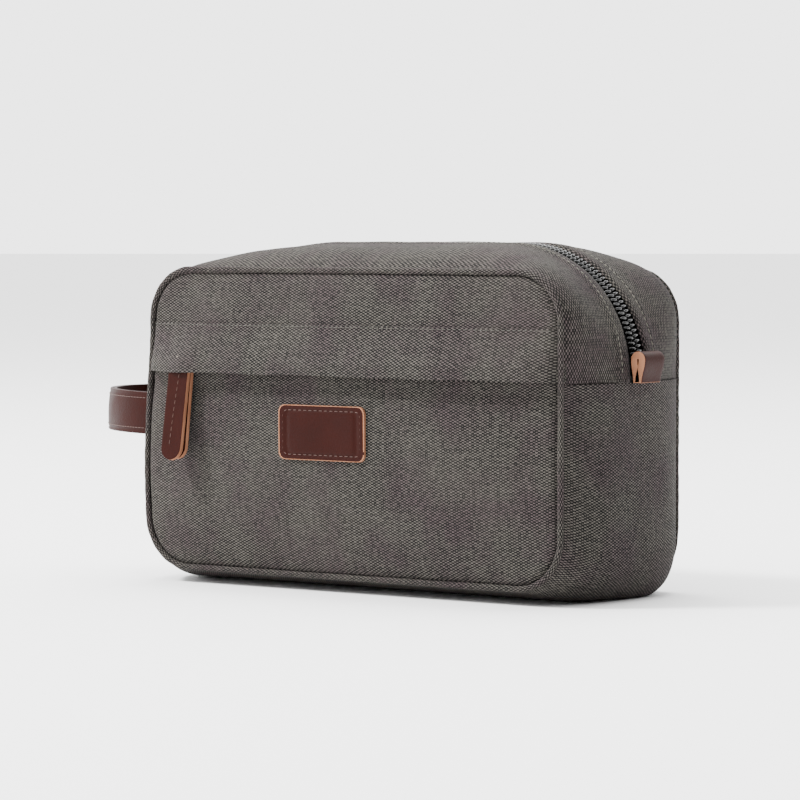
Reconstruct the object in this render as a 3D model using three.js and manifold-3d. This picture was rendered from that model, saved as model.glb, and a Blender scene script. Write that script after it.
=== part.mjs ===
// A canvas shaving kit bag with a zipped top, a zipped front pocket and leather trim.
// Millimetres. +X to the wearer's right, -Y to the front, +Z up. The origin is the middle of the flat underside.
import * as THREE from 'three';
import { mergeVertices } from 'three/addons/utils/BufferGeometryUtils.js';
import Module from 'manifold-3d';

const wasm = await Module();
wasm.setup();

// Overall sizes
const seam_width = 258;
const seam_depth = 103;
const seam_bottom = 8;
const seam_height = 154.6;
const seam_corner = 26;
const top_rise = 13;
const side_rise = 11;
const panel_bulge = 8;
const crown_corner = 68;
const base_corner = 28;
const side_seam_drop = 54.1;
const fold_drop = 27.6;

// Canvas, lining and seams
const canvas_wall = 2.4;
const lining_wall = 0.8;
const lining_inset = 4.4;
const welt_radius = 1.8;
const gap = 0.35;

// Main zip
const chain_width = 10;
const chain_height = 2.4;
const tape_width = 26;
const tape_wall = 0.7;
const canvas_to_chain = 2.2;
const slider_length = 15;
const slider_wall = 1.1;
const slider_clearance = 0.8;
const slider_start = 11;

// Front pocket
const flap_depth = 25.5;
const flap_wall = 2;
const flap_side_run = 11;
const flap_top_run = 10;
const pocket_zip_drop = 17.5;
const pocket_chain_width = 5.6;
const pocket_chain_height = 1.8;
const pocket_tape_width = 9;
const pocket_zip_length = 228;
const pocket_slider_length = 11;
const pocket_slider_x = -100;

// Leather
const leather_wall = 1.5;
const pull_width = 12.6;
const pull_length = 44;
const pull_slit = 1.4;
const pocket_pull_lean = 9;
const ring_wire = 1.2;
const ring_length = 7;
const ring_width = 8;
const patch_width = 54;
const patch_height = 27.6;
const patch_corner = 3.6;
const patch_x = -8.6;
const patch_z = 81;
const tab_width = 18;
const tab_height = 15;
const handle_reach = 58;
const handle_width = 22;
const handle_drop = 10.5;

// Inside
const board_wall = 1.4;
const slip_pocket_width = 150;
const slip_pocket_height = 72;

const half_width = seam_width / 2;
const half_depth = seam_depth / 2;
const seam_top = seam_bottom + seam_height;
const side_seam_level = seam_top - side_seam_drop;
const fold_level = seam_top - fold_drop;
const crown_top = seam_top + top_rise;
const crown_half = half_width + side_rise;
const seam_middle = seam_bottom + seam_height / 2;
const far = 4 * seam_width;
const corner_steps = 6;
const longest_run = 36;
const band_columns = 42;

// ---------- solids from grids and outlines ----------

function geometryFrom(points, faces) {
  const g = new THREE.BufferGeometry();
  g.setAttribute('position', new THREE.Float32BufferAttribute(points.flat(), 3));
  g.setIndex(faces.flat());
  return g;
}

// A sheet with thickness: outer(i, j) and inner(i, j) give the two skins on a grid of cells.
function slab(columns, rows, outer, inner) {
  const points = [];
  const faces = [];
  const layer = (columns + 1) * (rows + 1);
  for (const skin of [outer, inner]) {
    for (let i = 0; i <= columns; i += 1) {
      for (let j = 0; j <= rows; j += 1) points.push(skin(i / columns, j / rows));
    }
  }
  const at = (i, j) => i * (rows + 1) + j;
  const quad = (a, b, c, d) => faces.push([a, b, c], [a, c, d]);
  for (let i = 0; i < columns; i += 1) {
    for (let j = 0; j < rows; j += 1) {
      quad(at(i, j), at(i + 1, j), at(i + 1, j + 1), at(i, j + 1));
      quad(layer + at(i, j), layer + at(i, j + 1), layer + at(i + 1, j + 1), layer + at(i + 1, j));
    }
  }
  for (let i = 0; i < columns; i += 1) {
    quad(at(i, 0), layer + at(i, 0), layer + at(i + 1, 0), at(i + 1, 0));
    quad(at(i + 1, rows), layer + at(i + 1, rows), layer + at(i, rows), at(i, rows));
  }
  for (let j = 0; j < rows; j += 1) {
    quad(at(0, j + 1), layer + at(0, j + 1), layer + at(0, j), at(0, j));
    quad(at(columns, j), layer + at(columns, j), layer + at(columns, j + 1), at(columns, j + 1));
  }
  return outward(geometryFrom(points, faces));
}

function outward(g) {
  const p = g.getAttribute('position');
  const index = g.getIndex();
  let volume = 0;
  const [a, b, c] = [new THREE.Vector3(), new THREE.Vector3(), new THREE.Vector3()];
  for (let i = 0; i < index.count; i += 3) {
    a.fromBufferAttribute(p, index.getX(i));
    b.fromBufferAttribute(p, index.getX(i + 1));
    c.fromBufferAttribute(p, index.getX(i + 2));
    volume += a.dot(b.cross(c));
  }
  if (volume < 0) {
    for (let i = 0; i < index.count; i += 3) {
      const first = index.getX(i);
      index.setX(i, index.getX(i + 1));
      index.setX(i + 1, first);
    }
  }
  return g;
}

function solid(geometry) {
  const g = geometry.index ? geometry : geometry.clone();
  g.deleteAttribute('normal');
  g.deleteAttribute('uv');
  const merged = mergeVertices(g, 1e-4);
  return new wasm.Manifold(new wasm.Mesh({
    numProp: 3,
    vertProperties: merged.getAttribute('position').array,
    triVerts: Uint32Array.from(merged.getIndex().array),
  }));
}

function geometryOf(manifold) {
  const mesh = manifold.getMesh();
  const g = new THREE.BufferGeometry();
  g.setAttribute('position', new THREE.BufferAttribute(mesh.vertProperties, 3));
  g.setIndex(new THREE.BufferAttribute(mesh.triVerts, 1));
  return g;
}

function block(low, high) {
  const g = new THREE.BoxGeometry(high[0] - low[0], high[1] - low[1], high[2] - low[2]);
  g.translate((low[0] + high[0]) / 2, (low[1] + high[1]) / 2, (low[2] + high[2]) / 2);
  return g;
}

function above(geometry, level) {
  return geometryOf(solid(geometry).intersect(solid(block([-far, -far, level], [far, far, far]))));
}

function below(geometry, level) {
  return geometryOf(solid(geometry).intersect(solid(block([-far, -far, -far], [far, far, level]))));
}

function leftOf(geometry) {
  return geometryOf(solid(geometry).intersect(solid(block([-far, -far, -far], [0, far, far]))));
}

function rightOf(geometry) {
  return geometryOf(solid(geometry).intersect(solid(block([0, -far, -far], [far, far, far]))));
}

// An outline in X and Z, pushed from y_front to y_back.
function pushed(shape, y_front, y_back) {
  const g = new THREE.ExtrudeGeometry(shape, { depth: y_back - y_front, bevelEnabled: false, curveSegments: 5 });
  g.rotateX(Math.PI / 2);
  g.translate(0, y_back, 0);
  return g;
}

function roundedShape(low_x, high_x, low_z, high_z, radius) {
  const s = new THREE.Shape();
  s.moveTo(low_x + radius, low_z);
  s.lineTo(high_x - radius, low_z);
  s.absarc(high_x - radius, low_z + radius, radius, -Math.PI / 2, 0, false);
  s.lineTo(high_x, high_z - radius);
  s.absarc(high_x - radius, high_z - radius, radius, 0, Math.PI / 2, false);
  s.lineTo(low_x + radius, high_z);
  s.absarc(low_x + radius, high_z - radius, radius, Math.PI / 2, Math.PI, false);
  s.lineTo(low_x, low_z + radius);
  s.absarc(low_x + radius, low_z + radius, radius, Math.PI, 1.5 * Math.PI, false);
  return s;
}

// A shape's outline with its long straight runs divided.
function outlinePoints(shape) {
  const corners = shape.getPoints(corner_steps);
  const points = [];
  for (let k = 0; k < corners.length; k += 1) {
    const next = corners[(k + 1) % corners.length];
    const length = corners[k].distanceTo(next);
    if (length < 1e-6) continue;
    const parts = Math.ceil(length / longest_run);
    for (let m = 0; m < parts; m += 1) points.push(corners[k].clone().lerp(next, m / parts));
  }
  return points;
}

// ---------- the bag's two guiding lines, in X and Z ----------

// A line from the middle (x = 0, z = level) out to a rounded corner and on to the side seam.
// share runs from 0 at the middle to 1 at the side seam. Returns the point and its outward normal.
function guide(half, level, radius, share) {
  const up = Math.sign(level - side_seam_level);
  const flat = half - radius;
  const arc = (Math.PI / 2) * radius;
  const upright = Math.max(Math.abs(level - side_seam_level) - radius, 0);
  const travelled = share * (flat + arc + upright);
  if (travelled <= flat) return { x: travelled, z: level, nx: 0, nz: up };
  if (travelled <= flat + arc) {
    const turn = (travelled - flat) / radius;
    const nx = Math.sin(turn);
    const nz = up * Math.cos(turn);
    return { x: flat + radius * nx, z: level - up * radius + radius * nz, nx, nz };
  }
  const drop = travelled - flat - arc;
  return { x: half, z: level - up * (radius + drop), nx: 1, nz: 0 };
}

function mirrored(point, side) {
  return { x: side * point.x, z: point.z, nx: side * point.nx, nz: point.nz };
}

// The gusset's surface: share from -1 at the left side seam to 1 at the right one, over the top or under the base.
function gussetPoint(top, share, y, offset) {
  const side = share < 0 ? -1 : 1;
  const s = Math.abs(share);
  const seam = mirrored(guide(half_width, top ? seam_top : seam_bottom, seam_corner, s), side);
  const crown = top
    ? mirrored(guide(crown_half, crown_top, Math.min(crown_corner, crown_top - side_seam_level + 0.01), s), side)
    : mirrored(guide(crown_half, 0, base_corner, s), side);
  const across = Math.min(Math.abs(y) / half_depth, 1);
  const rise = top ? 1 - across ** 2.2 : Math.min(1, 1.25 * (1 - across ** 2.2));
  const x = seam.x + (crown.x - seam.x) * rise + crown.nx * offset;
  const z = seam.z + (crown.z - seam.z) * rise + crown.nz * offset;
  return [x, y, z];
}

function gussetBand(top, y_from, y_to, outer_offset, inner_offset, columns, rows, reach = 1) {
  const skin = (offset) => (i, j) =>
    gussetPoint(top, (2 * i - 1) * reach, y_from + (y_to - y_from) * j, offset);
  return slab(columns, rows, skin(outer_offset), skin(inner_offset));
}

// ---------- panels ----------

function panelReach(x, z) {
  const across = x / half_width;
  const up = (z - seam_middle) / (seam_height / 2);
  return Math.min(1, Math.hypot(across ** 2, up ** 2) ** 0.5);
}

function bulgeAt(x, z, bulge) {
  return bulge * (1 - panelReach(x, z) ** 2);
}

// A crowned panel inside the welt. side is -1 for the front and 1 for the back.
function panel(side, bulge, inset, outer_y, wall) {
  const outline = outlinePoints(roundedShape(
    -half_width + inset, half_width - inset, seam_bottom + inset, seam_top - inset, seam_corner - inset,
  ));
  const rings = [1, 0.78, 0.42];
  const points = [];
  const faces = [];
  const count = outline.length;
  for (const depth of [0, wall]) {
    for (const ring of rings) {
      for (const p of outline) {
        const x = p.x * ring;
        const z = seam_middle + (p.y - seam_middle) * ring;
        points.push([x, side * (outer_y + bulgeAt(x, z, bulge) - depth), z]);
      }
    }
    points.push([0, side * (outer_y + bulge - depth), seam_middle]);
  }
  const skin = rings.length * count + 1;
  for (let k = 0; k < count; k += 1) {
    const n = (k + 1) % count;
    for (let r = 0; r < rings.length - 1; r += 1) {
      const [a, b, c, d] = [r * count + k, r * count + n, (r + 1) * count + n, (r + 1) * count + k];
      faces.push([a, b, c], [a, c, d], [skin + a, skin + c, skin + b], [skin + a, skin + d, skin + c]);
    }
    const last = (rings.length - 1) * count;
    faces.push([last + k, last + n, skin - 1], [skin + last + k, 2 * skin - 1, skin + last + n]);
    faces.push([k, skin + k, skin + n], [k, skin + n, n]);
  }
  return outward(geometryFrom(points, faces));
}

const panel_inset = welt_radius + 2 * gap;
const front_face = half_depth + canvas_wall;

function canvasPanel(side) {
  return panel(side, panel_bulge, panel_inset, front_face, canvas_wall);
}

// The rolled seam round a panel's edge.
function welt(side) {
  const shape = roundedShape(-half_width, half_width, seam_bottom, seam_top, seam_corner);
  const line = outlinePoints(shape);
  const y = side * (half_depth + welt_radius / 2);
  const sides = 6;
  const points = [];
  const faces = [];
  for (let k = 0; k < line.length; k += 1) {
    const before = line[(k + line.length - 1) % line.length];
    const after = line[(k + 1) % line.length];
    const along = after.clone().sub(before).normalize();
    for (let m = 0; m < sides; m += 1) {
      const turn = (2 * Math.PI * m) / sides;
      const out = welt_radius * Math.cos(turn);
      points.push([line[k].x + along.y * out, y + welt_radius * Math.sin(turn), line[k].y - along.x * out]);
    }
  }
  for (let k = 0; k < line.length; k += 1) {
    const n = (k + 1) % line.length;
    for (let m = 0; m < sides; m += 1) {
      const o = (m + 1) % sides;
      faces.push([k * sides + m, n * sides + m, n * sides + o], [k * sides + m, n * sides + o, k * sides + o]);
    }
  }
  return outward(geometryFrom(points, faces));
}

// ---------- colours ----------

const finishes = {
  canvas: [0x5a554f, 0.95, 0],
  lining: [0x2f3033, 0.9, 0],
  leather: [0x4a261e, 0.5, 0],
  coil: [0x161616, 0.35, 0],
  tape: [0x1d1d1d, 0.9, 0],
  metal: [0x55504a, 0.35, 0.9],
  board: [0x2a2a2a, 0.8, 0],
};

const bag = new THREE.Group();

function add(name, finish, geometry, parent = bag) {
  const [color, roughness, metalness] = finishes[finish];
  const mesh = new THREE.Mesh(geometry, new THREE.MeshStandardMaterial({ color, roughness, metalness }));
  mesh.name = name;
  parent.add(mesh);
  return mesh;
}

// ---------- canvas shell ----------

const upper_from = fold_level + gap;
const gusset_edge = half_depth - welt_radius / 2 - gap;
const strip_edge = chain_width / 2 + canvas_to_chain;
const shells = { front: canvasPanel(-1), back: canvasPanel(1) };
const welts = { front: welt(-1), back: welt(1) };

for (const [word, side] of [['front', -1], ['back', 1]]) {
  const strip = gussetBand(true, side * gusset_edge, side * strip_edge, 0, -canvas_wall, band_columns, 3);
  add(`${word}_upper_panel`, 'canvas', above(shells[word], upper_from));
  add(`${word}_welt_upper`, 'canvas', above(welts[word], upper_from));
  add(`${word}_welt_lower`, 'canvas', below(welts[word], fold_level));
  add(`${word}_gusset_strip`, 'canvas', above(strip, upper_from));
  add(`${word}_strip_end_left`, 'canvas', leftOf(below(strip, fold_level)));
  add(`${word}_strip_end_right`, 'canvas', rightOf(below(strip, fold_level)));
}

add('back_lower_panel', 'canvas', below(shells.back, fold_level));
add('side_and_base_gusset', 'canvas',
  below(gussetBand(false, -gusset_edge, gusset_edge, 0, -canvas_wall, band_columns, 8), side_seam_level - gap));

// ---------- front pocket ----------

const pocket_zip_level = fold_level - pocket_zip_drop;
const pocket_edge = pocket_zip_level - pocket_tape_width / 2 - gap;
const facing_from = pocket_zip_level + pocket_tape_width / 2 + gap;
const pocket_tape_y = -(front_face + 1.4);
const pocket_chain_y = pocket_tape_y - gap;
const flap_y = front_face + panel_bulge + ring_wire + 2 * gap;
const pocket_half = pocket_zip_length / 2;

add('pocket_panel', 'canvas', below(shells.front, pocket_edge));
add('zip_facing', 'canvas', above(below(shells.front, fold_level), facing_from));
add('pocket_back_panel', 'lining', below(panel(-1, 0, panel_inset, half_depth - 0.4, lining_wall), fold_level));
// The flap leaves the front at its stitch line, stands clear of the zip and is caught in the seams at both ends.
function flapSkin(extra) {
  const half = half_width - panel_inset;
  const low = fold_level - flap_depth;
  const high = fold_level - gap;
  return (i, j) => {
    const t = 2 * i - 1;
    const x = (half * (3 * t - t ** 3)) / 2;
    const z = low + (high - low) * j;
    const near = front_face + bulgeAt(x, z, panel_bulge) + gap;
    const side = THREE.MathUtils.clamp((half - Math.abs(x)) / flap_side_run, 0, 1);
    const top = THREE.MathUtils.clamp((high - z) / flap_top_run, 0, 1);
    return [x, -(near + (flap_y - near) * Math.min(side, top) + extra), z];
  };
}
add('pocket_flap', 'canvas', slab(22, 4, flapSkin(flap_wall), flapSkin(0)));

for (const [word, side] of [['lower', -1], ['upper', 1]]) {
  const zip_box = (from, to, y_front, y_back) => block(
    [-pocket_half, y_front, pocket_zip_level + Math.min(side * from, side * to)],
    [pocket_half, y_back, pocket_zip_level + Math.max(side * from, side * to)],
  );
  add(`pocket_zip_tape_${word}`, 'tape',
    zip_box(gap / 2, pocket_tape_width / 2, pocket_tape_y, pocket_tape_y + tape_wall));
  add(`pocket_zip_coil_${word}`, 'coil',
    zip_box(gap / 2, pocket_chain_width / 2, pocket_chain_y - pocket_chain_height, pocket_chain_y));
}

// ---------- main zip ----------

const tape_half = tape_width / 2;
const tape_top = -canvas_wall - gap;
const chain_top = tape_top + gap + chain_height;

function zipBand(y_from, y_to, outer_offset, inner_offset) {
  return gussetBand(true, y_from, y_to, outer_offset, inner_offset, band_columns, 2);
}

for (const [word, side] of [['front', -1], ['back', 1]]) {
  add(`main_zip_tape_${word}`, 'tape', above(
    zipBand(side * tape_half, side * gap, tape_top, tape_top - tape_wall), upper_from));
  add(`main_zip_coil_${word}`, 'coil', above(
    zipBand(side * chain_width / 2, side * gap, chain_top, tape_top + gap), upper_from));
}
const closed_tape = below(zipBand(-tape_half, tape_half, tape_top, tape_top - tape_wall), fold_level);
const closed_coil = below(zipBand(-chain_width / 2, chain_width / 2, chain_top, tape_top + gap), fold_level);
add('zip_tape_end_left', 'tape', leftOf(closed_tape));
add('zip_tape_end_right', 'tape', rightOf(closed_tape));
add('zip_coil_end_left', 'coil', leftOf(closed_coil));
add('zip_coil_end_right', 'coil', rightOf(closed_coil));

// ---------- sliders and leather pulls ----------

// A slider lying along local X, riding on a chain whose top is local Z = 0.
function sliderGeometry(length, width, drop) {
  const inner = width / 2 + slider_clearance / 2;
  const outer = inner + slider_wall;
  const roof = slider_clearance / 2;
  const s = new THREE.Shape();
  s.moveTo(-outer, -drop);
  s.lineTo(-inner, -drop);
  s.lineTo(-inner, roof);
  s.lineTo(inner, roof);
  s.lineTo(inner, -drop);
  s.lineTo(outer, -drop);
  s.lineTo(outer, roof + slider_wall);
  s.lineTo(-outer, roof + slider_wall);
  const g = new THREE.ExtrudeGeometry(s, { depth: length, bevelEnabled: false });
  g.translate(0, 0, -length / 2);
  g.rotateY(Math.PI / 2);
  g.rotateX(Math.PI / 2);
  return g;
}

// A flat ring in local X and Y, with a bar inside a folded leather strip.
function ringGeometry(width, length, wire) {
  const s = roundedShape(-width / 2, width / 2, -length, 0, wire);
  const eye = roundedShape(-width / 2 + wire, width / 2 - wire, -length + wire, -wire, wire / 3);
  s.holes.push(eye);
  return new THREE.ExtrudeGeometry(s, { depth: wire, bevelEnabled: false, curveSegments: 3 });
}

// A leather strip folded in two, its fold at local Y = 0, hanging along -Y, with its layers along Z.
function foldedStrip(width, length, wall, slit) {
  const outline = new THREE.Shape();
  const radius = width / 2;
  outline.moveTo(-radius, 0);
  outline.lineTo(-radius, -length + radius);
  outline.absarc(0, -length + radius, radius, Math.PI, 2 * Math.PI, false);
  outline.lineTo(radius, 0);
  const thick = 2 * wall + slit;
  const whole = new THREE.ExtrudeGeometry(outline, { depth: thick, bevelEnabled: false, curveSegments: 8 });
  const cut = block([-width, -2 * length, wall], [width, -wall, wall + slit]);
  return geometryOf(solid(whole).subtract(solid(cut)));
}

const strip_thick = 2 * leather_wall + pull_slit;

// Pocket slider: its chain runs along X and faces the front.
const pocket_slider = new THREE.Group();
pocket_slider.position.set(pocket_slider_x, pocket_chain_y - pocket_chain_height, pocket_zip_level);
pocket_slider.rotation.x = Math.PI / 2;
bag.add(pocket_slider);
add('pocket_slider', 'metal',
  sliderGeometry(pocket_slider_length, pocket_chain_width, pocket_chain_height * 0.7), pocket_slider);

const pocket_pull_y = -(front_face + panel_bulge + gap);
const pocket_pull_top = fold_level - flap_depth - 1.2;
const pocket_pull = new THREE.Group();
pocket_pull.position.set(pocket_slider_x, pocket_pull_y, pocket_pull_top);
pocket_pull.rotation.x = Math.PI / 2;
bag.add(pocket_pull);
const pocket_strip = foldedStrip(pull_width, pull_length, leather_wall, pull_slit);
pocket_strip.rotateX(-THREE.MathUtils.degToRad(pocket_pull_lean));
add('pocket_pull_leather', 'leather', pocket_strip, pocket_pull);
const pocket_ring = ringGeometry(ring_width, ring_length, ring_wire);
pocket_ring.translate(0, ring_length + gap, 0);
add('pocket_pull_ring', 'metal', pocket_ring, pocket_pull);

// Main slider: it rides round the left corner, on a circle about the corner's centre.
const corner_radius = Math.min(crown_corner, crown_top - side_seam_level);
const corner_x = -(crown_half - corner_radius);
const corner_z = crown_top - corner_radius;
const slider_group = new THREE.Group();
const start = THREE.MathUtils.degToRad(slider_start);
slider_group.position.set(corner_x, 0, corner_z);
slider_group.rotation.y = start - Math.PI / 2;
bag.add(slider_group);
const slider_body = sliderGeometry(slider_length, chain_width, chain_height * 0.7);
slider_body.translate(0, 0, corner_radius + chain_top + slider_clearance / 2);
add('main_slider', 'metal', slider_body, slider_group);

// The pull hangs straight down from the slider's lower end.
const pull_turn = start - slider_length / 2 / corner_radius;
const pull_out = corner_radius + chain_top + slider_clearance + slider_wall + gap;
const facing_left = new THREE.Group();
facing_left.position.set(
  corner_x - pull_out * Math.cos(pull_turn), 0, corner_z + pull_out * Math.sin(pull_turn),
);
facing_left.rotation.z = -Math.PI / 2;
bag.add(facing_left);
const main_pull = new THREE.Group();
main_pull.rotation.x = Math.PI / 2;
facing_left.add(main_pull);
const main_ring = ringGeometry(ring_width, ring_length, ring_wire);
main_ring.translate(0, ring_length + gap, leather_wall);
add('main_pull_ring', 'metal', main_ring, main_pull);
add('main_pull_leather', 'leather',
  foldedStrip(pull_width, pull_length, leather_wall, pull_slit), main_pull);

// ---------- leather trim ----------

const patch_y = -(front_face + bulgeAt(patch_x, patch_z, panel_bulge) + gap + 0.1);
add('leather_patch', 'leather', pushed(
  roundedShape(patch_x - patch_width / 2, patch_x + patch_width / 2,
    patch_z - patch_height / 2, patch_z + patch_height / 2, patch_corner),
  patch_y - leather_wall, patch_y,
));

// A short strap folded over the closed end of the zip and caught in the side seam.
const tab_fold = 3.8;
const tab_from = crown_half + chain_top + gap + 0.4;
function endTab() {
  const top = side_seam_level + tab_height;
  const middle = tab_from + tab_fold;
  const s = new THREE.Shape();
  s.moveTo(middle - 0.4, side_seam_level);
  s.lineTo(middle - 0.4, top - tab_fold);
  s.lineTo(middle + 0.4, top - tab_fold);
  s.lineTo(middle + 0.4, side_seam_level);
  s.lineTo(middle + tab_fold * 0.6, side_seam_level);
  s.lineTo(middle + tab_fold, top - tab_fold);
  s.absarc(middle, top - tab_fold, tab_fold, 0, Math.PI, false);
  s.lineTo(middle - tab_fold * 0.6, side_seam_level);
  return pushed(s, -tab_width / 2 - 1, tab_width / 2 - 1);
}
add('zip_end_tab', 'leather', endTab());

// The side handle: a strap bowed out from the front seam to the back seam.
const handle_top = side_seam_level - handle_drop;
const handle_root = crown_half - 3;
function handleLayer(offset) {
  const half = half_depth - 3 + offset;
  const bow = handle_reach - (crown_half - half_width) + offset;
  const skin = (push) => (i, j) => {
    const turn = Math.PI * i;
    return [
      -handle_root - (bow + push) * Math.sin(turn),
      -(half + push) * Math.cos(turn),
      handle_top - handle_width * (1 - j),
    ];
  };
  return slab(24, 1, skin(leather_wall), skin(0));
}
add('handle_outer_layer', 'leather', handleLayer(0));
add('handle_inner_layer', 'leather', handleLayer(-leather_wall - gap));

// ---------- inside ----------

function liningShape(inset) {
  return roundedShape(-half_width + inset, half_width - inset, seam_bottom + inset, seam_top - inset,
    seam_corner - inset);
}
const lining_half = half_depth - lining_inset;
const lining_outer = solid(pushed(liningShape(lining_inset), -lining_half, lining_half));
const lining_inner = solid(pushed(liningShape(lining_inset + lining_wall),
  -lining_half + lining_wall, lining_half - lining_wall));
const mouth = solid(block([-far, -tape_half, fold_level], [far, tape_half, far]));
const lining = geometryOf(lining_outer.subtract(lining_inner).subtract(mouth));
const half_space = (side) => solid(block(
  [-far, side < 0 ? -far : gap, upper_from], [far, side < 0 ? -gap : far, far]));
add('lining_lower', 'lining', below(lining, fold_level));
add('lining_upper_front', 'lining', geometryOf(solid(lining).intersect(half_space(-1))));
add('lining_upper_back', 'lining', geometryOf(solid(lining).intersect(half_space(1))));

const board_half = half_width - seam_corner;
add('base_board', 'board', pushed(
  roundedShape(-board_half, board_half, seam_bottom + lining_inset - gap - board_wall,
    seam_bottom + lining_inset - gap, board_wall / 2 - 0.01),
  -lining_half, lining_half,
));

const slip_top = fold_level - 22;
const slip_gap = 1.2;
add('slip_pocket', 'lining', pushed(
  roundedShape(-slip_pocket_width / 2, slip_pocket_width / 2, slip_top - slip_pocket_height, slip_top, 2),
  lining_half - lining_wall - slip_gap - lining_wall, lining_half - lining_wall - slip_gap,
));

export default bag;
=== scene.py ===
import math

import bpy
from mathutils import Matrix, Vector, noise


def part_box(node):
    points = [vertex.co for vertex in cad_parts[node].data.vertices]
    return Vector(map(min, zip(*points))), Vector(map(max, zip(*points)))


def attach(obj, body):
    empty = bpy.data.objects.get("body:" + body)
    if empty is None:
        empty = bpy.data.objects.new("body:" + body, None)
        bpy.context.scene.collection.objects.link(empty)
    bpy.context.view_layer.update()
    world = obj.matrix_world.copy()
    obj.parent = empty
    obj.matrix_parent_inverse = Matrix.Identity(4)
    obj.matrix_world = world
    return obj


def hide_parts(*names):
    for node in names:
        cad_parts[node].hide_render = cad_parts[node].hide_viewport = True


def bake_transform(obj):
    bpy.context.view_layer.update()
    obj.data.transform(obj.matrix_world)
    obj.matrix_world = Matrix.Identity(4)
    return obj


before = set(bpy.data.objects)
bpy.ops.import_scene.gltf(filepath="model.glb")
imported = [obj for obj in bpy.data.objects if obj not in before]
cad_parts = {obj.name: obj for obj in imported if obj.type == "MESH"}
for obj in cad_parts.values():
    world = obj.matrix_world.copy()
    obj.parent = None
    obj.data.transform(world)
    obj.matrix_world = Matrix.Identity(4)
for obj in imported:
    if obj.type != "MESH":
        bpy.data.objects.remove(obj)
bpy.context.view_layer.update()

MM = 0.001

# ---------- sizes, from the frame ----------

welt_low, welt_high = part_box("front_welt_lower")
top_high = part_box("front_welt_upper")[1]
gusset_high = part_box("side_and_base_gusset")[1]
strip_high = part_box("front_gusset_strip")[1]
panel_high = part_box("pocket_panel")[1]
flap_low, flap_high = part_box("pocket_flap")
facing_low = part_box("zip_facing")[0]
patch_low, patch_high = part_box("leather_patch")
tab_low, tab_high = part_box("zip_end_tab")
coil_low, coil_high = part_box("pocket_zip_coil_lower")
coil_upper_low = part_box("pocket_zip_coil_upper")[0]
pull_low, pull_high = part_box("pocket_pull_leather")
hang_low, hang_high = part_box("main_pull_leather")
slider_low, slider_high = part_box("main_slider")
strap_low, strap_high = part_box("handle_outer_layer")

WELT = (welt_high.y - welt_low.y) / 2
HALF = welt_high.x - WELT
BOTTOM = welt_low.z + WELT
TOP = top_high.z - WELT
CORNER = 26 * MM
DEPTH = -(welt_low.y + 1.5 * WELT)
FOLD = flap_high.z
SIDE_SEAM = gusset_high.z
CROWN = strip_high.z
GUSSET_HALF = gusset_high.x
CROWN_CORNER = CROWN - SIDE_SEAM
BASE_CORNER = 24 * MM
MIDDLE = (TOP + BOTTOM) / 2
CANVAS = 1.6 * MM
STRIP_EDGE = -strip_high.y
CHAIN_HALF = 5 * MM
ZIP_LEVEL = (coil_upper_low.z + coil_high.z) / 2
POCKET_EDGE = panel_high.z
FLAP_EDGE = flap_low.z
PULL_X = (pull_low.x + pull_high.x) / 2
PULL_TOP = FLAP_EDGE + 5 * MM
FRONT_BULGE = 9.5 * MM
BACK_BULGE = 7.5 * MM
INSET = 0.4 * WELT
UNEVEN = 1.1 * MM
SHOULDER = 3.1 * MM
LEFT_SLUMP = 7 * MM
LEFT_LEAN = 2.4 * MM
LEFT_SAG = 1.8 * MM
LINING_WALL = 0.5 * MM
POCKET_WALL = 0.6 * MM
TAPE_WALL = 0.6 * MM


# ---------- small mesh tools ----------

def alone(piece):
    bpy.ops.object.select_all(action="DESELECT")
    piece.select_set(True)
    bpy.context.view_layer.objects.active = piece


def settle(piece):
    """Applies the piece's modifiers and its place."""
    alone(piece)
    for modifier in list(piece.modifiers):
        bpy.ops.object.modifier_apply(modifier=modifier.name)
    bpy.ops.object.transform_apply(location=True, rotation=True, scale=True)
    return piece


def smooth(piece, angle):
    alone(piece)
    bpy.ops.object.shade_smooth_by_angle(angle=math.radians(angle))
    return piece


def mend(piece):
    """Merges doubles and points the faces outwards."""
    alone(piece)
    bpy.ops.object.mode_set(mode="EDIT")
    bpy.ops.mesh.select_all(action="SELECT")
    bpy.ops.mesh.remove_doubles(threshold=0.02 * MM)
    bpy.ops.mesh.normals_make_consistent(inside=False)
    bpy.ops.object.mode_set(mode="OBJECT")
    return piece


def cloth_grid(name, columns, rows, place, cloth):
    """A grid laid on a surface.

    place(s, t) gives the point and cloth(s, t) the weave's own coordinates, in metres.
    """
    bpy.ops.object.select_all(action="DESELECT")
    bpy.ops.mesh.primitive_grid_add(x_subdivisions=columns, y_subdivisions=rows, size=2)
    piece = bpy.context.object
    piece.name = name
    mesh = piece.data
    spots = [(v.co.x, v.co.y) for v in mesh.vertices]
    weave = mesh.uv_layers.active
    for loop in mesh.loops:
        weave.data[loop.index].uv = cloth(*spots[loop.vertex_index])
    for vertex, spot in zip(mesh.vertices, spots):
        vertex.co = settled(place(*spot))
    return piece


def face_up(piece, towards):
    """Turns an open sheet so that its faces look along towards(centre)."""
    mesh = piece.data
    score = sum(p.normal.dot(towards(p.center)) * p.area for p in mesh.polygons)
    if score < 0:
        mesh.flip_normals()
    return piece


def thicken(piece, wall, bevel=0.0, rim=None, segments=3, angle=50):
    """Gives a sheet its wall on the inner side, with soft rims."""
    solid = piece.modifiers.new("wall", "SOLIDIFY")
    solid.thickness = wall
    solid.offset = -1
    if rim is not None:
        solid.material_offset_rim = rim
    if bevel:
        soft = piece.modifiers.new("rim", "BEVEL")
        soft.width = bevel
        soft.segments = segments
        soft.limit_method = "ANGLE"
        soft.angle_limit = math.radians(angle)
    return settle(piece)


def facing_front(_):
    return Vector((0, -1, 0))


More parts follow.
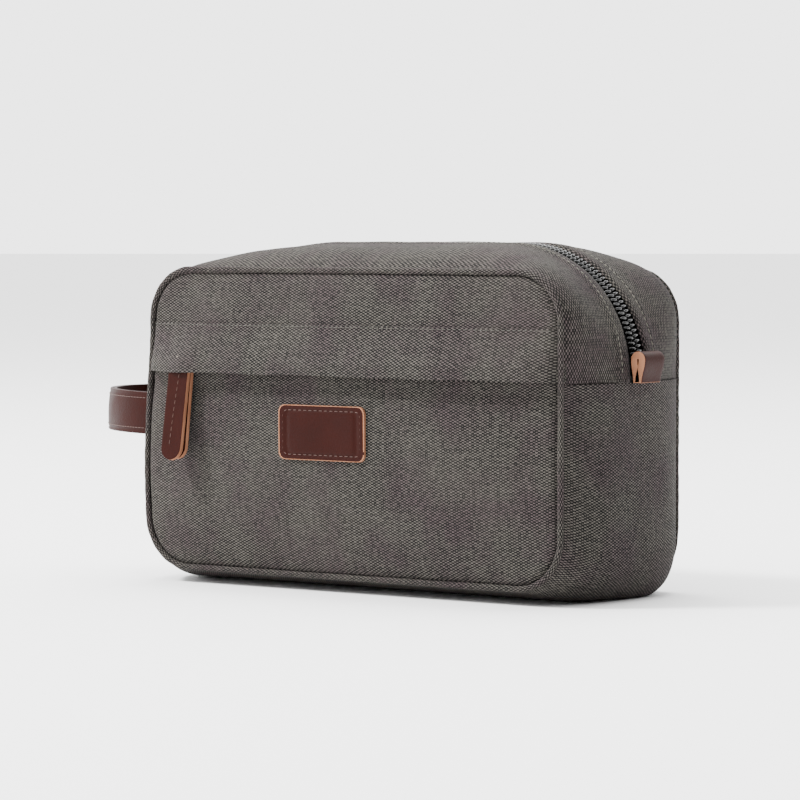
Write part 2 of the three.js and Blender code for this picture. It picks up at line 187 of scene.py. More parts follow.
def facing_off_top(centre):
    """Which way the gusset over the top faces at a face's centre."""
    return Vector((centre.x * 0.6, 0, centre.z - SIDE_SEAM + 20 * MM))


def unwoven(s, t):
    """The grid's own coordinates, for leather, which has no weave to line up."""
    return (s, t)


def join(name, pieces):
    bpy.ops.object.select_all(action="DESELECT")
    for piece in pieces:
        piece.select_set(True)
    bpy.context.view_layer.objects.active = pieces[0]
    bpy.ops.object.join()
    pieces[0].name = name
    return pieces[0]


def ball(segments, rings):
    """The points and faces of a ball one unit across."""
    bpy.ops.object.select_all(action="DESELECT")
    bpy.ops.mesh.primitive_uv_sphere_add(segments=segments, ring_count=rings, radius=0.5)
    model = bpy.context.object
    points = [v.co.copy() for v in model.data.vertices]
    faces = [tuple(p.vertices) for p in model.data.polygons]
    bpy.data.objects.remove(model)
    return points, faces


def copy_out(name, shape, faces, spots, look):
    """One piece with the shape copied to each spot, which is a point and its three directions."""
    points, polygons = [], []
    for point, across, up, out in spots:
        first = len(points)
        points.extend(settled(point + across * co.x + up * co.y + out * co.z) for co in shape)
        polygons.extend(tuple(first + i for i in face) for face in faces)
    mesh = bpy.data.meshes.new(name)
    mesh.from_pydata(points, [], polygons)
    piece = bpy.data.objects.new(name, mesh)
    bpy.context.scene.collection.objects.link(piece)
    return mend(smooth(paint(piece, look), 80))


def paint(piece, *materials):
    piece.data.materials.clear()
    for material in materials:
        piece.data.materials.append(material)
    return piece


def ease(t):
    return t * t * (3 - 2 * t)


def ramp(value, start, end):
    return ease(min(max((value - start) / (end - start), 0), 1))


def dip(distance, reach):
    """A bell that is 1 at no distance and falls away over the reach."""
    return math.exp(-(distance / reach) ** 2)


def ripple(x, z, scale, seed):
    """A smooth, repeatable unevenness from -1 to 1."""
    return noise.noise(Vector((x * scale, z * scale, seed)))


def heading_point(heading):
    return Vector((math.cos(heading), math.sin(heading)))


def round_path(half_w, half_h, corner, travelled):
    """The point and heading at a distance round a rounded rectangle, from its right side up."""
    runs = [2 * (half_h - corner), math.pi / 2 * corner, 2 * (half_w - corner), math.pi / 2 * corner] * 2
    heading, spot = math.pi / 2, Vector((half_w, -half_h + corner))
    for k, run in enumerate(runs):
        part = min(travelled, run)
        if k % 2:
            hub = spot + corner * heading_point(heading + math.pi / 2)
            heading += part / corner
            spot = hub + corner * heading_point(heading - math.pi / 2)
        else:
            spot = spot + part * heading_point(heading)
        travelled -= part
        if travelled <= 0:
            break
    return spot, heading


def round_length(half_w, half_h, corner):
    return 4 * (half_w + half_h) - (8 - 2 * math.pi) * corner


# ---------- the bag's surfaces ----------

def settled(point):
    """The left end leans in at the top and sags out lower down, and the back's lower corners are full."""
    left = ramp(-point.x, 30 * MM, 125 * MM)
    lean = LEFT_LEAN * ramp(point.z, 85 * MM, 135 * MM)
    sag = LEFT_SAG * dip(point.z - 58 * MM, 30 * MM)
    by_end = ramp(abs(point.x), 98 * MM, 128 * MM)
    by_base = 1 - ramp(point.z, 6 * MM, 34 * MM)
    full = by_end * by_base * ramp(point.y, -30 * MM, 45 * MM)
    drop = min(4.5 * MM * full, max(point.z - 0.4 * MM, 0))
    return point + Vector((left * (lean - sag) + math.copysign(2.5 * MM * full, point.x), 0, -drop))


def guide(half, level, corner, travelled):
    """The point and outward normal at a distance along a line from x = 0 out to the side seam."""
    up = 1 if level > SIDE_SEAM else -1
    flat = half - corner
    arc = math.pi / 2 * corner
    if travelled <= flat:
        return Vector((travelled, 0, level)), Vector((0, 0, up))
    if travelled <= flat + arc:
        turn = (travelled - flat) / corner
        out = Vector((math.sin(turn), 0, up * math.cos(turn)))
        return Vector((flat, 0, level - up * corner)) + corner * out, out
    drop = corner + travelled - flat - arc
    return Vector((half, 0, level - up * drop)), Vector((1, 0, 0))


def guide_length(half, level, corner):
    upright = max(abs(level - SIDE_SEAM) - corner, 0)
    return half - corner + math.pi / 2 * corner + upright


TOP_LENGTH = (guide_length(HALF, TOP, CORNER) + guide_length(GUSSET_HALF, CROWN, CROWN_CORNER)) / 2
BASE_LENGTH = (guide_length(HALF, BOTTOM, CORNER) + guide_length(GUSSET_HALF, 0, BASE_CORNER)) / 2


def gusset_point(s, y, offset, over):
    """The gusset over the top or under the base, with s from -1 at the left side seam to 1 at the right."""
    side = -1 if s < 0 else 1
    level, corner, crown_level, crown_corner = (
        (TOP, CORNER, CROWN, CROWN_CORNER) if over else (BOTTOM, CORNER, 0, BASE_CORNER)
    )
    seam, seam_out = guide(HALF, level, corner, abs(s) * guide_length(HALF, level, corner))
    crown, crown_out = guide(GUSSET_HALF, crown_level, crown_corner,
                             abs(s) * guide_length(GUSSET_HALF, crown_level, crown_corner))
    across = min(abs(y) / DEPTH, 1)
    rise = 1 - across ** (2.3 if over else 3.2)
    point = seam.lerp(crown, rise)
    out = seam_out.lerp(crown_out, rise).normalized()
    soft = (1 - across ** 4) * min(1, 4 * abs(1 - abs(s)) + 0.25)
    slow = ripple(side * point.x, point.z + 2 * y, 21, 3.1 + over)
    quick = ripple(side * point.x, y, 55, 8.4)
    lift = UNEVEN * (0.7 * slow + 0.3 * quick) * soft if over or crown.z > 4 * MM else 0
    if over:
        shoulder = (across ** 1.6 - across ** 6) / 0.45
        lift += SHOULDER * shoulder * (1 - ramp(SIDE_SEAM + 30 * MM - point.z, 0, 30 * MM))
        slump = ramp(-side * point.x, 35 * MM, 92 * MM) * (1 - 0.6 * ramp(-y, 4 * MM, 34 * MM))
        point.z -= LEFT_SLUMP * slump * ramp(point.z, CROWN - 25 * MM, CROWN - 5 * MM)
    point = point + out * (offset + lift)
    return Vector((side * point.x, y, point.z))


def outline_half(z):
    """Half the panel's width at height z."""
    into = max(BOTTOM + CORNER - z, z - (TOP - CORNER), 0)
    return HALF - INSET - CORNER + math.sqrt(max(CORNER ** 2 - into ** 2, 0))


def from_seam(x, z):
    """The distance in from the seam line."""
    across = abs(x) - (HALF - CORNER)
    up = abs(z - MIDDLE) - (MIDDLE - BOTTOM - CORNER)
    return CORNER - math.hypot(max(across, 0), max(up, 0)) - min(max(across, up), 0)


def panel_y(x, z, bulge):
    """How far a panel stands out from the bag's middle: a steep edge by the seam, then a soft belly."""
    reach = min(1, math.hypot((x / HALF) ** 2, ((z - MIDDLE) / (MIDDLE - BOTTOM)) ** 2) ** 0.5)
    full = 1 - reach ** 2.4
    edge = 1 - math.exp(-max(from_seam(x, z) - 2 * MM, 0) / (1.6 * MM))
    wave = 0.6 * ripple(x, z, 17, 1.3) + 0.4 * ripple(x, z, 42, 5.2)
    belly = 2.6 * MM * edge + (bulge - 2 * MM) * full
    return DEPTH - 0.4 * MM + belly + UNEVEN * wave * (1 - reach ** 6)


def panel_grid(name, side, low, high, bulge, lift=lambda x, z: 0.0, columns=120, rows=60):
    """A panel between two heights, its rows closer together in the round corners."""
    def height(t):
        share = (t + 1) / 2
        if low < BOTTOM + CORNER:
            share = share ** 1.5
        if high > TOP - CORNER:
            share = 1 - (1 - share) ** 1.5
        return low + (high - low) * share

    def close(s):
        return 0.3 * s + 0.7 * math.sin(math.pi / 2 * s)

    def place(s, t):
        z = height(t)
        x = close(s) * outline_half(z)
        return Vector((x, side * (panel_y(x, z, bulge) + lift(x, z)), z))

    def cloth(s, t):
        z = height(t)
        return (close(s) * outline_half(z), z)

    return face_up(cloth_grid(name, columns, rows, place, cloth), lambda c: Vector((0, side, 0)))


# ---------- materials ----------

def wire(tree, start, end):
    tree.links.new(start, end)


def node(tree, kind, **values):
    made = tree.nodes.new(kind)
    for key, value in values.items():
        setattr(made, key, value)
    return made


def set_inputs(made, values):
    for label, value in values.items():
        made.inputs[label].default_value = value


def calc(tree, operation, first, second=None, third=None):
    made = node(tree, "ShaderNodeMath", operation=operation)
    for socket, value in zip(made.inputs, (first, second, third)):
        if value is None:
            continue
        if isinstance(value, (int, float)):
            socket.default_value = value
        else:
            wire(tree, value, socket)
    return made.outputs[0]


def times(tree, first, second):
    return calc(tree, "MULTIPLY", first, second)


def plus(tree, first, second):
    return calc(tree, "ADD", first, second)


def minus(tree, first, second):
    return calc(tree, "SUBTRACT", first, second)


def clouds(tree, spot, scale, detail, rough=0.5, kind="2D"):
    """A noise read at a spot: flat on the cloth's own coordinates, or 3D through the piece."""
    made = node(tree, "ShaderNodeTexNoise", noise_dimensions=kind)
    set_inputs(made, {"Scale": scale, "Detail": detail, "Roughness": rough})
    wire(tree, spot, made.inputs["Vector"])
    return made.outputs[0]


def new_group(name, inputs, outputs):
    """A node group with a Vector and some numbers in, and numbers out."""
    group = bpy.data.node_groups.new(name, "ShaderNodeTree")
    group.interface.new_socket("Vector", in_out="INPUT", socket_type="NodeSocketVector")
    for label, value in inputs.items():
        socket = group.interface.new_socket(label, in_out="INPUT", socket_type="NodeSocketFloat")
        socket.default_value = value
    for label in outputs:
        group.interface.new_socket(label, in_out="OUTPUT", socket_type="NodeSocketFloat")
    entry = group.nodes.new("NodeGroupInput")
    leave = group.nodes.new("NodeGroupOutput")
    return group, entry, leave


def cell_noise(tree, across, up):
    """An even noise read at one spot for each yarn or float."""
    spot = node(tree, "ShaderNodeCombineXYZ")
    wire(tree, across, spot.inputs[0])
    wire(tree, up, spot.inputs[1])
    return clouds(tree, spot.outputs[0], 1, 1)


def weave_group():
    """Plain weave: floats as long as Across wide and Up high, with uneven yarns."""
    group, entry, leave = new_group(
        "plain_weave", {"Across": 1.4 * MM, "Up": 0.7 * MM}, ("Height", "Float", "Yarn", "Mottle"))
    spot = entry.outputs["Vector"]
    split = node(group, "ShaderNodeSeparateXYZ")
    wire(group, spot, split.inputs[0])
    shift = minus(group, clouds(group, spot, 120, 1), 0.5)
    columns = calc(group, "DIVIDE", split.outputs[0], entry.outputs["Across"])
    rows = calc(group, "DIVIDE", split.outputs[1], entry.outputs["Up"])
    across = plus(group, columns, times(group, shift, 0.35))
    up = plus(group, rows, times(group, shift, 0.9))
    wave_across = calc(group, "SINE", times(group, across, math.pi))
    wave_up = calc(group, "SINE", times(group, up, math.pi))
    check = times(group, times(group, wave_across, wave_up), 0.5)
    column, row = calc(group, "FLOOR", across), calc(group, "FLOOR", up)
    # The odd factors keep each float off the noise's own whole steps, where it is always flat.
    float_tone = cell_noise(group, times(group, column, 0.73), times(group, row, 0.61))
    weft_tone = cell_noise(group, times(group, across, 0.045), times(group, row, 0.67))
    warp_tone = cell_noise(group, times(group, column, 0.71), times(group, up, 0.025))
    yarn = plus(group, times(group, float_tone, 0.7), times(group, plus(group, weft_tone, warp_tone), 0.15))
    wire(group, plus(group, check, times(group, yarn, 0.9)), leave.inputs["Height"])
    # Float is low in the gaps between the yarns, where the cloths paint shade with their deep colour.
    wire(group, plus(group, check, 0.5), leave.inputs["Float"])
    wire(group, yarn, leave.inputs["Yarn"])
    wire(group, clouds(group, spot, 34, 5, 0.6), leave.inputs["Mottle"])
    return group


def grain_group():
    """Leather grain: fine pebbles and pores with soft clouding."""
    group, entry, leave = new_group("leather_grain", {"Pebbles": 900.0}, ("Height", "Cloud", "Scuff"))
    spot = entry.outputs["Vector"]
    cells = node(group, "ShaderNodeTexVoronoi", feature="SMOOTH_F1")
    wire(group, entry.outputs["Pebbles"], cells.inputs["Scale"])
    wire(group, spot, cells.inputs["Vector"])
    pores = clouds(group, spot, 1500, 3, kind="3D")
    wire(group, plus(group, times(group, cells.outputs[0], -0.6), pores), leave.inputs["Height"])
    wire(group, clouds(group, spot, 90, 5, kind="3D"), leave.inputs["Cloud"])
    rubbed = clouds(group, spot, 380, 6, 0.75, kind="3D")
    wire(group, calc(group, "GREATER_THAN", rubbed, 0.66), leave.inputs["Scuff"])
    return group


WEAVE = weave_group()
GRAIN = grain_group()


def start_material(name, roughness, metallic=0.0, specular=0.5):
    material = bpy.data.materials.new(name)
    material.use_nodes = True
    tree = material.node_tree
    shader = tree.nodes["Principled BSDF"]
    set_inputs(shader, {"Roughness": roughness, "Metallic": metallic, "Specular IOR Level": specular})
    return material, tree, shader


def mix(tree, share, first, second):
    made = node(tree, "ShaderNodeMix", data_type="RGBA")
    sockets = (made.inputs["Factor"], made.inputs[6], made.inputs[7])
    for socket, value in zip(sockets, (share, first, second)):
        if isinstance(value, (int, float)):
            socket.default_value = value
        elif isinstance(value, tuple):
            socket.default_value = (*value, 1)
        else:
            wire(tree, value, socket)
    return made.outputs[2]


def bump(tree, shader, height, distance, strength=1.0):
    made = node(tree, "ShaderNodeBump")
    set_inputs(made, {"Distance": distance, "Strength": strength})
    wire(tree, height, made.inputs["Height"])
    wire(tree, made.outputs[0], shader.inputs["Normal"])


def texture_place(tree, label):
    return node(tree, "ShaderNodeTexCoord").outputs[label]


def place_group(tree, group, label, **values):
    made = node(tree, "ShaderNodeGroup", node_tree=group)
    wire(tree, texture_place(tree, label), made.inputs["Vector"])
    set_inputs(made, values)
    return made


def woven(name, deep, high, tint, across, up, height, roughness=0.92):
    """A woven cloth: deep colour between the yarns, which is painted shade in the weave's hollows plus
    darker yarn, high colour on the floats, tint in clouds.
    """
    material, tree, shader = start_material(name, roughness, specular=0.2)
    weave = place_group(tree, WEAVE, "UV", Across=across, Up=up)
    # Low Float, the gaps between the yarns, takes the deep colour: painted shade in the weave's hollows; the
    # yarns term adds random tone to each yarn.
    floats = minus(tree, times(tree, weave.outputs["Float"], 2.8), 1.2)
    yarns = times(tree, minus(tree, weave.outputs["Yarn"], 0.5), 2.6)
    clamp = node(tree, "ShaderNodeClamp")
    wire(tree, plus(tree, floats, yarns), clamp.inputs[0])
    base = mix(tree, clamp.outputs[0], deep, high)
    tinted = mix(tree, clamp.outputs[0], deep, tint)
    cloud = node(tree, "ShaderNodeMapRange")
    set_inputs(cloud, {"From Min": 0.4, "From Max": 0.68, "To Max": 0.8})
    wire(tree, weave.outputs["Mottle"], cloud.inputs["Value"])
    worn = mix(tree, cloud.outputs[0], base, tinted)
    lighter = mix(tree, 0.22, worn, high)
    fade = times(tree, minus(tree, clouds(tree, texture_place(tree, "UV"), 13, 3), 0.42), 1.6)
    wire(tree, mix(tree, fade, worn, lighter), shader.inputs["Base Color"])
    bump(tree, shader, weave.outputs["Height"], height)
    return material


def leather(name, deep, high, roughness, grain=0.12 * MM):
    material, tree, shader = start_material(name, roughness, specular=0.07)
    hide = place_group(tree, GRAIN, "Object")
    colour = mix(tree, hide.outputs["Cloud"], deep, high)
    pale = tuple(min(1, 2.2 * c) for c in high)
    scuffed = mix(tree, times(tree, hide.outputs["Scuff"], 0.22), colour, pale)
    wire(tree, scuffed, shader.inputs["Base Color"])
    rough = plus(tree, times(tree, hide.outputs["Cloud"], 0.25), roughness - 0.12)
    wire(tree, rough, shader.inputs["Roughness"])
    bump(tree, shader, hide.outputs["Height"], grain, 0.7)
    return material


def plain(name, deep, high, roughness, scale, metallic=0.0, specular=0.5):
    """A material with fine clouding and tooling marks."""
    material, tree, shader = start_material(name, roughness, metallic, specular)
    cloud = clouds(tree, texture_place(tree, "Object"), scale, 5, kind="3D")
    wire(tree, mix(tree, cloud, deep, high), shader.inputs["Base Color"])
    wire(tree, plus(tree, times(tree, cloud, 0.2), roughness - 0.1), shader.inputs["Roughness"])
    bump(tree, shader, cloud, 0.03 * MM, 0.5)
    return material


# The first colour of each woven cloth is painted shade between its yarns and the darkest yarn tone.
CANVAS_LOOK = woven("washed_canvas", (0.0005, 0.0005, 0.0004), (0.082, 0.074, 0.064), (0.064, 0.043, 0.047),
                    1.4 * MM, 0.7 * MM, 0.3 * MM)
LINING_LOOK = woven("lining_cloth", (0.018, 0.018, 0.02), (0.06, 0.06, 0.066), (0.04, 0.04, 0.045),
                    0.5 * MM, 0.4 * MM, 0.06 * MM, roughness=0.7)
TAPE_LOOK = woven("zip_tape", (0.002, 0.002, 0.002), (0.008, 0.008, 0.008), (0.006, 0.006, 0.006),
                  0.7 * MM, 0.5 * MM, 0.1 * MM, roughness=0.85)
LEATHER_LOOK = leather("waxed_leather", (0.0125, 0.0012, 0.0003), (0.021, 0.0024, 0.0007), 0.45)
CUT_LOOK = leather("leather_cut_edge", (0.16, 0.06, 0.032), (0.36, 0.175, 0.1), 0.75, grain=0.2 * MM)
COIL_LOOK = plain("coil_nylon", (0.002, 0.002, 0.002), (0.005, 0.005, 0.005), 0.11, 500, specular=0.35)
METAL_LOOK = plain("antique_metal", (0.05, 0.042, 0.034), (0.13, 0.11, 0.09), 0.38, 320, metallic=1.0)
THREAD_LOOK = plain("canvas_thread", (0.03, 0.028, 0.023), (0.085, 0.08, 0.066), 0.8, 900)
PALE_THREAD_LOOK = plain("strip_thread", (0.07, 0.066, 0.052), (0.17, 0.16, 0.13), 0.8, 900)
BROWN_THREAD_LOOK = plain("leather_thread", (0.03, 0.009, 0.005), (0.075, 0.03, 0.019), 0.6, 900)
BOARD_LOOK = plain("stiffening_board", (0.02, 0.02, 0.02), (0.05, 0.05, 0.05), 0.8, 200)


SEWN_STRAP = ("base", "handle")
FRONT_FOLD = ("base", "front_mouth")
BACK_FOLD = ("base", "back_mouth")
STRAP_LEVEL = (strap_low.z + strap_high.z) / 2


def dress(piece, body, slot, *replaced):
    """Rides a piece on its body, or bakes its place where it sits over a fold or is a sewn strap, and hides
    the parts it stands for. The slot is not used.
    """
    if isinstance(body, str):
        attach(piece, body)
    elif body == SEWN_STRAP:
        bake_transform(piece)
    else:
        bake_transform(piece)
    if replaced:
        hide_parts(*replaced)
    return piece


def canvas_sheet(piece, rim=0.0):
    """Gives a sheet the canvas's wall and weave."""
    return smooth(paint(thicken(piece, CANVAS, rim), CANVAS_LOOK), 60)


def lining_sheet(piece, wall=LINING_WALL, rim=0.0, angle=50):
    return smooth(paint(thicken(piece, wall, rim), LINING_LOOK), angle)


# ---------- stitches ----------

def stitch_row(name, line, body, slot, look, pitch=3.1 * MM, thick=0.42 * MM):
    """Stitches along a line, which gives the point and normal at a distance, or None past its end."""
    long = 2.3 * MM
    points, faces = ball(6, 5)
    shape = [Vector((co.x * thick, co.y * thick * 0.8, co.z * long)) for co in points]
    spots, travelled = [], pitch / 2
    while True:
        here, ahead = line(travelled - long / 2), line(travelled + long / 2)
        if here is None or ahead is None:
            break
        along = (ahead[0] - here[0]).normalized()
        out = (here[1] + ahead[1]).normalized()
        wide = along.cross(out).normalized()
        spots.append(((here[0] + ahead[0]) / 2, wide, out, along))
        travelled += pitch
    return dress(copy_out(name, shape, faces, spots, look), body, slot)


# ---------- canvas panels ----------

def hem_step(z, edge, width, step):
    """A folded hem along an upper or lower edge."""
    return step * (1 - ramp(abs(z - edge), width - 1 * MM, width + 0.6 * MM))


def make_upper_front():
    piece = panel_grid("upper_front_canvas", -1, facing_low.z, TOP - INSET, FRONT_BULGE, rows=44)
    canvas_sheet(piece)
    dress(piece, FRONT_FOLD, "canvas", "front_upper_panel", "zip_facing")


def make_pocket_panel():
    def lift(_, z):
        sunk = 1.4 * MM * ramp(z, FLAP_EDGE - 25 * MM, POCKET_EDGE)
        return hem_step(z, POCKET_EDGE, 7 * MM, 0.7 * MM) - sunk

    piece = panel_grid("pocket_canvas", -1, BOTTOM + INSET, POCKET_EDGE, FRONT_BULGE, lift, rows=72)
    canvas_sheet(piece, 0.5 * MM)
    dress(piece, "base", "canvas", "pocket_panel")


def flap_lift(x, z):
    """How far the flap stands off the front: flush at its stitch line, proud at its lower edge."""
    down = ramp(FOLD - z, 0, 0.9 * (FOLD - FLAP_EDGE))
    inner = ramp(HALF - abs(x), -1 * MM, 16 * MM)
    over_pull = 2.4 * MM * down * dip(x - PULL_X, 11 * MM)
    return 0.9 * MM + (1.1 + 3.8 * inner) * MM * down + over_pull + hem_step(z, FLAP_EDGE, 8 * MM, 0.5 * MM)


def make_flap():
    wide = HALF + 0.9 * WELT

    def place(s, t):
        z = FLAP_EDGE + (FOLD + 0.6 * MM - FLAP_EDGE) * (t + 1) / 2
        x = s * wide
        z += 0.7 * MM * ripple(x, 0, 25, 9.7) * (1 - t) / 2
        inside = min(abs(x), outline_half(z))
        back = 3.4 * MM * ramp(abs(x), HALF - 2.5 * MM, wide)
        return Vector((x, -(panel_y(math.copysign(inside, x), z, FRONT_BULGE) + flap_lift(x, z) - back), z))

    def cloth(s, t):
        return (s * wide, FLAP_EDGE + (FOLD - FLAP_EDGE) * (t + 1) / 2)

    piece = face_up(cloth_grid("pocket_flap_canvas", 150, 34, place, cloth), facing_front)
    canvas_sheet(piece, 0.55 * MM)
    dress(piece, "base", "canvas", "pocket_flap")

    reach = HALF - 3 * MM
    sewn = FOLD - 0.6 * MM

    def line(travelled):
        x = travelled - reach
        if x > reach:
            return None
        y = -(panel_y(x, sewn, FRONT_BULGE) + flap_lift(x, sewn) + 0.12 * MM)
        return Vector((x, y, sewn)), Vector((0, -1, 0.2)).normalized()

    stitch_row("flap_stitches", line, "base", "canvas", THREAD_LOOK)


def make_back():
    piece = panel_grid("back_canvas", 1, BOTTOM + INSET, TOP - INSET, BACK_BULGE, rows=90)
    canvas_sheet(piece)
    dress(piece, BACK_FOLD, "canvas", "back_lower_panel", "back_upper_panel")


# ---------- gusset and seams ----------

STRIP_STITCHES = 7.6 * MM


def strip_offset(y):
    """The strips' folded edges by the zip are a little thicker, and their stitches pull a groove."""
    from_edge = abs(y) - STRIP_EDGE
    groove = 0.45 * MM * dip(from_edge - STRIP_STITCHES, 1.1 * MM)
    return 0.9 * MM * (1 - ramp(from_edge, 8.5 * MM, 12 * MM)) - groove


def make_strip(word, side, fold):
    def place(s, t):
        share = (t + 1) / 2
        y = side * (STRIP_EDGE + (DEPTH + 0.4 * WELT - STRIP_EDGE) * share)
        edge = 1.6 * MM * (1 - ramp(abs(y), STRIP_EDGE, STRIP_EDGE + 1.8 * MM))
        return gusset_point(s, y, strip_offset(y) - edge, True)

    def cloth(s, t):
        return (s * TOP_LENGTH, side * (STRIP_EDGE + (DEPTH - STRIP_EDGE) * (t + 1) / 2))

    piece = cloth_grid(f"{word}_zip_strip_canvas", 200, 34, place, cloth)
    face_up(piece, facing_off_top)
    canvas_sheet(piece, 0.4 * MM)
    dress(piece, fold, "canvas", f"{word}_gusset_strip", f"{word}_strip_end_left", f"{word}_strip_end_right")

    y = side * (STRIP_EDGE + STRIP_STITCHES)
    end = 0.985

    def line(travelled):
        s = travelled / TOP_LENGTH - end
        if s > end:
            return None
        point = gusset_point(s, y, strip_offset(y) + 0.25 * MM, True)
        return point, (gusset_point(s, y, 3 * MM, True) - gusset_point(s, y, 0, True)).normalized()

    stitch_row(f"{word}_strip_stitches", line, fold, "canvas", PALE_THREAD_LOOK, thick=0.6 * MM)


def make_base_gusset():
    whole = 1 - 1e-4

    def place(s, t):
        return gusset_point(s * whole, t * (DEPTH + 0.4 * WELT), 0, False)

    def cloth(s, t):
        return (t * DEPTH + 3, s * BASE_LENGTH)

    piece = cloth_grid("side_and_base_canvas", 200, 70, place, cloth)
    face_up(piece, lambda c: Vector((c.x, 0, c.z - SIDE_SEAM)))
    canvas_sheet(piece, 0.4 * MM)
    dress(piece, "base", "canvas", "side_and_base_gusset")


def seam_roll(word, side, fold):
    """The turned seam round a panel: a soft roll of canvas."""
    half_h = MIDDLE - BOTTOM
    length = round_length(HALF, half_h, CORNER)

    def place(s, t):
        spot, heading = round_path(HALF, half_h, CORNER, (s + 1) / 2 * length)
        turn = math.pi * (t + 1)
        bumps = 0.1 * ripple(s * 9, side, 2.3, 4.4) + 0.06 * math.sin(s * length / (3.1 * MM))
        plump = WELT * (1.05 + bumps)
        across = spot + heading_point(heading - math.pi / 2) * (plump * math.cos(turn) - 0.3 * WELT)
        y = side * (DEPTH + 0.42 * WELT + plump * 0.85 * math.sin(turn))
        return Vector((across.x, y, MIDDLE + across.y))

    def cloth(s, t):
        return (s * length / 2, t * math.pi * WELT)

    piece = cloth_grid(f"{word}_seam_roll", 260, 12, place, cloth)
    smooth(mend(paint(piece, CANVAS_LOOK)), 80)
    dress(piece, fold, "canvas", f"{word}_welt_upper", f"{word}_welt_lower")


# ---------- zips ----------

CHAIN_LEVEL = -0.7 * MM
PITCH = 2.6 * MM


def bead(length, width, height):
    """One coil tooth: a round hump along Y, a little fuller at its inner end."""
    points, faces = ball(10, 10)
    shape = []
    for co in points:
        head = 0.95 + 0.15 * ramp(2 * co.z, -0.1, 0.6)
        shape.append(Vector((co.x * width * head, co.z * length, co.y * height * head)))
    return shape, faces


def chain_frame(s, y):
    """The point on the chain with its directions along the zip and out of the bag."""
    point = gusset_point(s, y, CHAIN_LEVEL, True)
    ahead = gusset_point(min(s + 0.004, 1), y, 0, True) - gusset_point(max(s - 0.004, -1), y, 0, True)
    along = ahead.normalized()
    out = Vector((0, -1, 0)).cross(along).normalized()
    if out.z < 0 and out.x * s < 0:
        out = -out
    return point, along, out


def make_main_zip(word, side, fold):
    shape, faces = bead(CHAIN_HALF + 0.4 * MM, 1.9 * MM, 3.2 * MM)
    count = int(2 * TOP_LENGTH / PITCH)
    inward = Vector((0, -side, 0))
    spots = []
    for k in range(count):
        s = -0.995 + 1.99 * (k + (0.5 if side > 0 else 0)) / count
        point, along, out = chain_frame(s, 0)
        centre = point - inward * (CHAIN_HALF * 0.5 + 0.15 * MM)
        spots.append((centre, along, (inward + along * 0.1).normalized(), out))
    piece = copy_out(f"{word}_coil_teeth", shape, faces, spots, COIL_LOOK)
    ends = ["zip_coil_end_left", "zip_coil_end_right"] if side < 0 else []
    dress(piece, fold, "zip_coil", f"main_zip_coil_{word}", *ends)

    def place(s, t):
        y = side * (0.4 * MM + (STRIP_EDGE + 7 * MM) * (t + 1) / 2)
        point, _, out = chain_frame(s * 0.999, 0)
        sunk = 1.3 * MM + 1.4 * MM * ramp(abs(y), STRIP_EDGE - 2 * MM, STRIP_EDGE + 1 * MM)
        return Vector((point.x, y, point.z)) - out * sunk

    def cloth(s, t):
        return (s * TOP_LENGTH, t * 8 * MM)

    tape = cloth_grid(f"{word}_zip_tape", 180, 8, place, cloth)
    face_up(tape, facing_off_top)
    smooth(paint(thicken(tape, TAPE_WALL), TAPE_LOOK), 60)
    ends = ["zip_tape_end_left", "zip_tape_end_right"] if side < 0 else []
    dress(tape, fold, "zip_tape", f"main_zip_tape_{word}", *ends)


def make_pocket_zip(word, side):
    half = coil_high.x
    width = coil_high.z - coil_low.z
    pitch = 1.9 * MM
    shape, faces = bead(width + 0.3 * MM, 1.25 * MM, 1.6 * MM)
    lean = Vector((0.12, 0, -side)).normalized()
    spots = []
    for k in range(int(2 * half / pitch)):
        x = -half + pitch * (k + (0.75 if side > 0 else 0.25))
        centre = Vector((x, (coil_low.y + coil_high.y) / 2, ZIP_LEVEL + side * width * 0.52))
        spots.append((centre, Vector((1, 0, 0)), lean, Vector((0, -1, 0))))
    piece = copy_out(f"pocket_coil_teeth_{word}", shape, faces, spots, COIL_LOOK)
    dress(piece, "base", "zip_coil", f"pocket_zip_coil_{word}")
    low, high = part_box(f"pocket_zip_tape_{word}")

    def place(s, t):
        return Vector((s * half, low.y, low.z + (high.z - low.z) * (t + 1) / 2))

    def cloth(s, t):
        return (s * half, t * 4 * MM)

    tape = face_up(cloth_grid(f"pocket_tape_{word}", 60, 6, place, cloth), facing_front)
    smooth(paint(thicken(tape, TAPE_WALL, 0.1 * MM), TAPE_LOOK), 60)
    dress(tape, "base", "zip_tape", f"pocket_zip_tape_{word}")


def make_slider(name, length, width, height, matrix, body, node_name):
    """A zip slider: a waisted crown plate with side flanges and a bridge over the top."""
    bpy.ops.object.select_all(action="DESELECT")
    bpy.ops.mesh.primitive_grid_add(x_subdivisions=16, y_subdivisions=12, size=2)
    plate = bpy.context.object
    for v in plate.data.vertices:
        s, t = v.co.x, v.co.y
        waist = 1 - 0.16 * math.sin(math.pi * (s + 1) / 2) - 0.1 * ramp(s, 0.2, 1)
        flange = ramp(abs(t), 0.74, 1)
        z = height * (1 - 0.12 * t * t) - (height + 0.8 * MM) * flange
        v.co = Vector((s * length / 2, t * width / 2 * waist, z))
    face_up(plate, lambda c: Vector((0, 0, 1)))
    thicken(plate, 0.9 * MM, 0.25 * MM)
    bpy.ops.mesh.primitive_torus_add(major_segments=24, minor_segments=8, major_radius=length * 0.26,
                                     minor_radius=0.75 * MM, rotation=(math.pi / 2, 0, 0))
    bridge = bpy.context.object
    for v in bridge.data.vertices:
        v.co = Vector((v.co.x, v.co.y * 2.2, v.co.z))
    bpy.ops.object.transform_apply(location=True, rotation=True, scale=True)
    for v in bridge.data.vertices:
        v.co.z = max(v.co.z, -0.6 * MM) * 0.72 + height - 0.1 * MM
    plate = join(name, [plate, bridge])
    plate.data.transform(matrix)
    smooth(paint(plate, METAL_LOOK), 50)
    dress(plate, body, "zip_metal", node_name)


